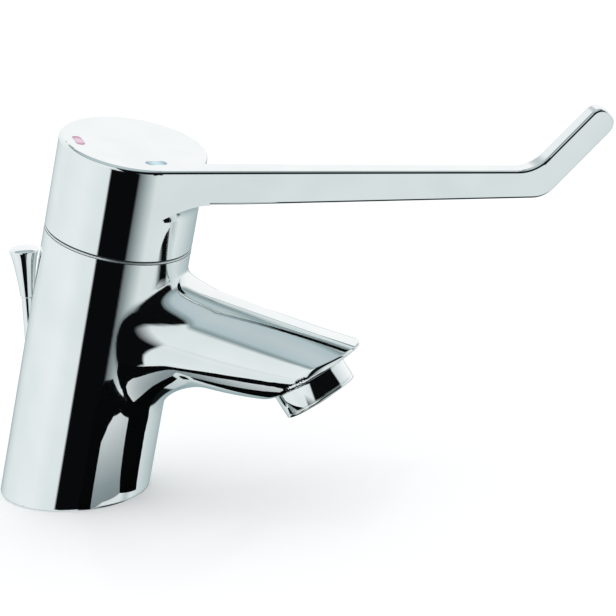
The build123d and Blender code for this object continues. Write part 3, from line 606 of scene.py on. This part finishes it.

# Hot and cold marks: small glazed inlays, level with the head's top. Enamel is a little deeper in
# colour towards its rim, and it shines like glass.
mark_rim_from_mm = 1.2
mark_rim_to_mm = 3.4
glaze_clouds_per_m = 1400.0
for name, middle, rim in (("hot_mark", "E6C3DC", "B65C8A"), ("cold_mark", "BFE4EE", "5E93A6")):
    mark = nodes[name]
    low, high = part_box(name)
    centre = (low + high) / 2
    enamel = bpy.data.materials.new(name.replace("mark", "enamel"))
    enamel.use_nodes = True
    tree = enamel.node_tree
    shader = tree.nodes["Principled BSDF"]
    place = add_node(tree, "ShaderNodeTexCoord").outputs["Object"]
    from_centre = add_node(
        tree, "ShaderNodeVectorMath", {0: place, 1: centre}, operation="SUBTRACT"
    ).outputs[0]
    spread = add_node(tree, "ShaderNodeVectorMath", {0: from_centre}, operation="LENGTH").outputs["Value"]
    rim_from, rim_to = mark_rim_from_mm * mm, mark_rim_to_mm * mm
    edge = add_node(tree, "ShaderNodeMapRange", {0: spread, 1: rim_from, 2: rim_to}).outputs[0]
    cloud = add_node(
        tree, "ShaderNodeTexNoise", {"Vector": place, "Scale": glaze_clouds_per_m, "Detail": 2.0}
    ).outputs[0]
    depth = add_node(tree, "ShaderNodeMath", {0: cloud, 1: 0.3, 2: edge}, operation="MULTIPLY_ADD").outputs[0]
    glaze = add_node(tree, "ShaderNodeValToRGB", {0: depth}, stops=[(0.15, middle), (1.0, rim)])
    tree.links.new(glaze.outputs["Color"], shader.inputs["Base Color"])
    shader.inputs["Roughness"].default_value = 0.12
    shader.inputs["Coat Weight"].default_value = 0.6
    shader.inputs["Coat Roughness"].default_value = 0.05
    mark.material_slots[0].material = enamel


# Aerator housing: a brass collar turned from bar and chromed, screwed up into the spout's end. Its
# wall ends in a bright rim with a crisp edge, set off by a fine turned line.
aerator_point = (0, -84.0, 43.385)
collar_r = 12.5
collar_len = 8.1
collar_lip_r = 9.2
collar_profile = [
    (11.8, -6.0), (11.8, -0.02), (collar_r - 0.25, 0.0), (collar_r - 0.08, 0.06), (collar_r, 0.25),
    (collar_r, 6.6), (collar_r - 0.1, 6.72), (collar_r - 0.22, 6.8), (collar_r - 0.22, 6.9),
    (collar_r - 0.08, 7.0), (collar_r - 0.02, 7.12), (collar_r - 0.03, 7.6), (collar_r - 0.16, 7.88),
    (collar_r - 0.42, 8.04), (collar_r - 0.8, collar_len), (collar_lip_r + 0.25, collar_len),
    (collar_lip_r, collar_len - 0.25), (collar_lip_r, 7.0), (10.3, 7.0), (10.3, -6.0),
]
collar_origin = Vector(aerator_point)
collar_down = Vector(end_normal)
collar_side = Vector((1, 0, 0))
collar_front = collar_down.cross(collar_side)


def turned_mesh(name, origin, axis, side, front, profile, steps):
    """A closed ring turned about an axis from a profile of (radius, way along the axis) in mm."""
    form = bmesh.new()
    rings = []
    for radius, along in profile:
        ring = []
        for i in range(steps):
            turn = 2 * pi * i / steps
            out = side * (radius * cos(turn)) + front * (radius * sin(turn))
            ring.append(form.verts.new((origin + axis * along + out) * mm))
        rings.append(ring)
    for first, second in zip(rings, rings[1:] + rings[:1]):
        for i in range(steps):
            j = (i + 1) % steps
            form.faces.new((first[i], first[j], second[j], second[i]))
    bmesh.ops.recalc_face_normals(form, faces=form.faces)
    for face in form.faces:
        face.smooth = True
    mesh = bpy.data.meshes.new(name)
    form.to_mesh(mesh)
    form.free()
    mesh.set_sharp_from_angle(angle=radians(38))
    return mesh


collar_mesh = turned_mesh(
    "aerator_collar", collar_origin, collar_down, collar_side, collar_front, collar_profile, 128
)
collar_mesh.materials.append(chrome)
collar = bpy.data.objects.new("aerator_collar", collar_mesh)
scene.collection.objects.link(collar)
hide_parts("aerator_housing")
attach(collar, "root")

# Stainless steel, turned or drawn: a grey metal whose faint tool marks spread the light a little
tool_line_mm = 0.96
tool_line_depth_mm = 0.006
steel = bpy.data.materials.new("turned_stainless_steel")
steel.use_nodes = True
tree = steel.node_tree
shader = tree.nodes["Principled BSDF"]
place = add_node(tree, "ShaderNodeTexCoord").outputs["Object"]
lines = add_node(
    tree, "ShaderNodeTexNoise", {"Vector": place, "Scale": 1000 / tool_line_mm, "Detail": 2.0}
).outputs[0]
tint = add_node(tree, "ShaderNodeValToRGB", {0: lines}, stops=[(0.3, "B4B7BA"), (0.7, "C6C9CB")])
rough = add_node(tree, "ShaderNodeMapRange", {0: lines, 3: 0.18, 4: 0.34}).outputs[0]
bump = add_node(tree, "ShaderNodeBump", {"Height": lines, "Distance": tool_line_depth_mm * mm}).outputs[0]
tree.links.new(tint.outputs["Color"], shader.inputs["Base Color"])
tree.links.new(rough, shader.inputs["Roughness"])
tree.links.new(bump, shader.inputs["Normal"])
shader.inputs["Metallic"].default_value = 1.0

# Aerator screen: fine steel gauze, two layers of drawn wire crossed at right angles and pressed
# flat. It lies across the outlet, behind the collar's lip. The wires are drawn a little coarse.
gauze_r = 10.2
wire_r = 0.15
wire_pitch = 0.85
gauze_level = 6.75
gauze = bpy.data.node_groups.new("crossed_wires", "GeometryNodeTree")
gauze.interface.new_socket(name="Geometry", in_out="OUTPUT", socket_type="NodeSocketGeometry")
gauze_inputs = {"Radius": gauze_r * mm, "Wire radius": wire_r * mm, "Pitch": wire_pitch * mm}
for name in gauze_inputs:
    gauze.interface.new_socket(name=name, in_out="INPUT", socket_type="NodeSocketFloat")
gauze.interface.new_socket(name="Wire", in_out="INPUT", socket_type="NodeSocketMaterial")
given = add_node(gauze, "NodeGroupInput").outputs
radius, pitch, wire_radius = given["Radius"], given["Pitch"], given["Wire radius"]
across = add_node(gauze, "ShaderNodeMath", {0: radius, 1: 2.0}, operation="MULTIPLY").outputs[0]
wire_count = add_node(gauze, "ShaderNodeMath", {0: across, 1: pitch}, operation="DIVIDE").outputs[0]
left = add_node(gauze, "ShaderNodeMath", {0: radius, 1: -1.0}, operation="MULTIPLY").outputs[0]
first_x = add_node(gauze, "ShaderNodeMath", {0: pitch, 1: 0.5, 2: left}, operation="MULTIPLY_ADD").outputs[0]
start = add_node(gauze, "ShaderNodeCombineXYZ", {"X": first_x}).outputs[0]
step = add_node(gauze, "ShaderNodeCombineXYZ", {"X": pitch}).outputs[0]
row = add_node(
    gauze, "GeometryNodeMeshLine",
    {"Count": wire_count, "Start Location": start, "Offset": step}, mode="OFFSET",
).outputs[0]
wire = add_node(
    gauze, "GeometryNodeMeshCylinder", {"Vertices": 6, "Radius": wire_radius, "Depth": 2.0}
).outputs[0]

# Each wire is as long as the round outlet is wide where it crosses
spot = add_node(gauze, "GeometryNodeInputPosition").outputs[0]
spot_x = add_node(gauze, "ShaderNodeSeparateXYZ", {0: spot}).outputs["X"]
radius_2 = add_node(gauze, "ShaderNodeMath", {0: radius, 1: radius}, operation="MULTIPLY").outputs[0]
spot_2 = add_node(gauze, "ShaderNodeMath", {0: spot_x, 1: spot_x}, operation="MULTIPLY").outputs[0]
chord_2 = add_node(gauze, "ShaderNodeMath", {0: radius_2, 1: spot_2}, operation="SUBTRACT").outputs[0]
chord_2 = add_node(gauze, "ShaderNodeMath", {0: chord_2, 1: 0.0}, operation="MAXIMUM").outputs[0]
half_chord = add_node(gauze, "ShaderNodeMath", {0: chord_2}, operation="SQRT").outputs[0]
stretch = add_node(gauze, "ShaderNodeCombineXYZ", {"X": 1.0, "Y": 1.0, "Z": half_chord}).outputs[0]
layer = add_node(
    gauze, "GeometryNodeInstanceOnPoints",
    {"Points": row, "Instance": wire, "Rotation": (pi / 2, 0, 0), "Scale": stretch},
).outputs[0]
drop = add_node(gauze, "ShaderNodeMath", {0: wire_radius, 1: -1.7}, operation="MULTIPLY").outputs[0]
lower = add_node(gauze, "ShaderNodeCombineXYZ", {"Z": drop}).outputs[0]
crossed = add_node(
    gauze, "GeometryNodeTransform", {"Geometry": layer, "Translation": lower, "Rotation": (0, 0, pi / 2)}
).outputs[0]
both = add_node(gauze, "GeometryNodeJoinGeometry")
gauze.links.new(layer, both.inputs[0])
gauze.links.new(crossed, both.inputs[0])
solid_wires = add_node(gauze, "GeometryNodeRealizeInstances", {"Geometry": both.outputs[0]}).outputs[0]
finished = add_node(
    gauze, "GeometryNodeSetMaterial", {"Geometry": solid_wires, "Material": given["Wire"]}
).outputs[0]
add_node(gauze, "NodeGroupOutput", {"Geometry": finished})
blank = bpy.data.objects.new("gauze_blank", bpy.data.meshes.new("gauze_blank"))
scene.collection.objects.link(blank)
weave = blank.modifiers.new("crossed_wires", "NODES")
weave.node_group = gauze
for item in gauze.interface.items_tree:
    if item.in_out == "INPUT":
        weave[item.identifier] = steel if item.name == "Wire" else gauze_inputs[item.name]
depsgraph = bpy.context.evaluated_depsgraph_get()
gauze_mesh = bpy.data.meshes.new_from_object(blank.evaluated_get(depsgraph))
bpy.data.objects.remove(blank)
gauze_mesh.name = "aerator_gauze"
set_in_place = Matrix((collar_side, collar_front, collar_down)).transposed().to_4x4()
set_in_place.translation = (collar_origin + collar_down * gauze_level) * mm
gauze_mesh.transform(set_in_place)
screen = bpy.data.objects.new("aerator_gauze", gauze_mesh)
scene.collection.objects.link(screen)
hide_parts("aerator_screen")
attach(screen, "root")

# Jet plate and washer: a natural acetal plate that parts the water into jets, held up against a
# rubber ring. Rubber is matt and slightly dusty, with the bloom of moulded nitrile.
nodes["aerator_insert"].material_slots[0].material = acetals["natural_acetal_moulded"]
bloom_mm = 1.6
rubber = bpy.data.materials.new("moulded_nitrile_rubber")
rubber.use_nodes = True
tree = rubber.node_tree
shader = tree.nodes["Principled BSDF"]
place = add_node(tree, "ShaderNodeTexCoord").outputs["Object"]
bloom = add_node(
    tree, "ShaderNodeTexNoise", {"Vector": place, "Scale": 1000 / bloom_mm, "Detail": 4.0}
).outputs[0]
tint = add_node(tree, "ShaderNodeValToRGB", {0: bloom}, stops=[(0.3, "141516"), (0.75, "232527")])
rough = add_node(tree, "ShaderNodeMapRange", {0: bloom, 3: 0.65, 4: 0.85}).outputs[0]
tree.links.new(tint.outputs["Color"], shader.inputs["Base Color"])
tree.links.new(rough, shader.inputs["Roughness"])
shader.inputs["IOR"].default_value = 1.52
for name in ("aerator_washer", "base_seal", "port_seals"):
    nodes[name].material_slots[0].material = rubber


# Pop-up knob: a slim cone turned from brass, with a slightly domed top and a softened rim, chromed
# and pressed on the rod that works the waste, which is of chromed brass too.
knob_foot_z = 65.3
knob_top_z = 82.3
knob_foot_r = 2.35
knob_top_r = 4.75
knob_profile = [
    (0.01, knob_foot_z), (knob_foot_r - 0.3, knob_foot_z), (knob_foot_r, knob_foot_z + 0.3),
    (knob_foot_r + 0.35, knob_foot_z + 4.0), (knob_foot_r + 0.95, knob_foot_z + 8.5),
    (knob_foot_r + 1.7, knob_foot_z + 13.0), (knob_top_r - 0.04, knob_top_z - 1.6),
    (knob_top_r, knob_top_z - 1.25), (knob_top_r - 0.12, knob_top_z - 0.95),
    (knob_top_r - 0.4, knob_top_z - 0.72), (knob_top_r - 1.2, knob_top_z - 0.42),
    (knob_top_r - 2.4, knob_top_z - 0.15), (0.01, knob_top_z),
]
knob_mesh = turned_mesh(
    "popup_knob_turned", Vector((0, rod_back, 0)), Vector((0, 0, 1)),
    Vector((1, 0, 0)), Vector((0, 1, 0)), knob_profile, 72,
)
knob_mesh.materials.append(chrome)
knob = bpy.data.objects.new("popup_knob_turned", knob_mesh)
scene.collection.objects.link(knob)
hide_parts("popup_knob")
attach(knob, "popup")
nodes["popup_rod"].material_slots[0].material = chrome
nodes["rod_clip"].material_slots[0].material = steel
nodes["rod_guide_bush"].material_slots[0].material = acetals["natural_acetal_moulded"]


# Cartridge: glass-filled nylon foot, housing and carrier, two lapped ceramic discs and an acetal
# slider that the stem's ball moves. It is dropped into the body and held down by a brass nut.
for name in ("cartridge_base", "cartridge_housing", "swivel_carrier"):
    nodes[name].material_slots[0].material = acetals["grey_glass_filled_nylon"]
nodes["disc_driver"].material_slots[0].material = acetals["natural_acetal_moulded"]

# Lapped alumina: dense white ceramic, faintly clouded, with a fine even sheen
cloud_mm = 2.0
alumina = bpy.data.materials.new("lapped_alumina_ceramic")
alumina.use_nodes = True
tree = alumina.node_tree
shader = tree.nodes["Principled BSDF"]
place = add_node(tree, "ShaderNodeTexCoord").outputs["Object"]
cloud = add_node(
    tree, "ShaderNodeTexNoise", {"Vector": place, "Scale": 1000 / cloud_mm, "Detail": 3.0}
).outputs[0]
tint = add_node(tree, "ShaderNodeValToRGB", {0: cloud}, stops=[(0.3, "EFECE4"), (0.7, "F7F5EF")])
rough = add_node(tree, "ShaderNodeMapRange", {0: cloud, 3: 0.16, 4: 0.26}).outputs[0]
tree.links.new(tint.outputs["Color"], shader.inputs["Base Color"])
tree.links.new(rough, shader.inputs["Roughness"])
shader.inputs["IOR"].default_value = 1.76
for name in ("fixed_ceramic_disc", "moving_ceramic_disc"):
    nodes[name].material_slots[0].material = alumina

# Cartridge nut: turned from brass bar and left bare, so it keeps its warm colour and tool rings
tool_ring_mm = 0.3
tool_ring_depth_mm = 0.004
haze_mm = 2.5
brass = bpy.data.materials.new("turned_brass")
brass.use_nodes = True
tree = brass.node_tree
shader = tree.nodes["Principled BSDF"]
place = add_node(tree, "ShaderNodeTexCoord").outputs["Object"]
along = add_node(
    tree, "ShaderNodeVectorMath", {0: place, 1: tuple(axis_dir)}, operation="DOT_PRODUCT"
).outputs["Value"]
rings_per_m = 2 * pi / (tool_ring_mm * mm)
phase = add_node(tree, "ShaderNodeMath", {0: along, 1: rings_per_m}, operation="MULTIPLY").outputs[0]
tool_rings = add_node(tree, "ShaderNodeMath", {0: phase}, operation="SINE").outputs[0]
haze = add_node(
    tree, "ShaderNodeTexNoise", {"Vector": place, "Scale": 1000 / haze_mm, "Detail": 3.0}
).outputs[0]
tint = add_node(tree, "ShaderNodeValToRGB", {0: haze}, stops=[(0.3, "C49A4E"), (0.7, "D6B068")])
rough = add_node(tree, "ShaderNodeMapRange", {0: haze, 3: 0.2, 4: 0.36}).outputs[0]
bump = add_node(
    tree, "ShaderNodeBump", {"Height": tool_rings, "Distance": tool_ring_depth_mm * mm}
).outputs[0]
tree.links.new(tint.outputs["Color"], shader.inputs["Base Color"])
tree.links.new(rough, shader.inputs["Roughness"])
tree.links.new(bump, shader.inputs["Normal"])
shader.inputs["Metallic"].default_value = 1.0
nodes["cartridge_nut"].material_slots[0].material = brass

# Stem, pivot pin and grub screw: turned from stainless steel bar. The pin holds the stem in the
# carrier, and the grub screw fixes the head on the stem.
for name in ("stem", "pivot_pin", "grub_screw"):
    nodes[name].material_slots[0].material = steel
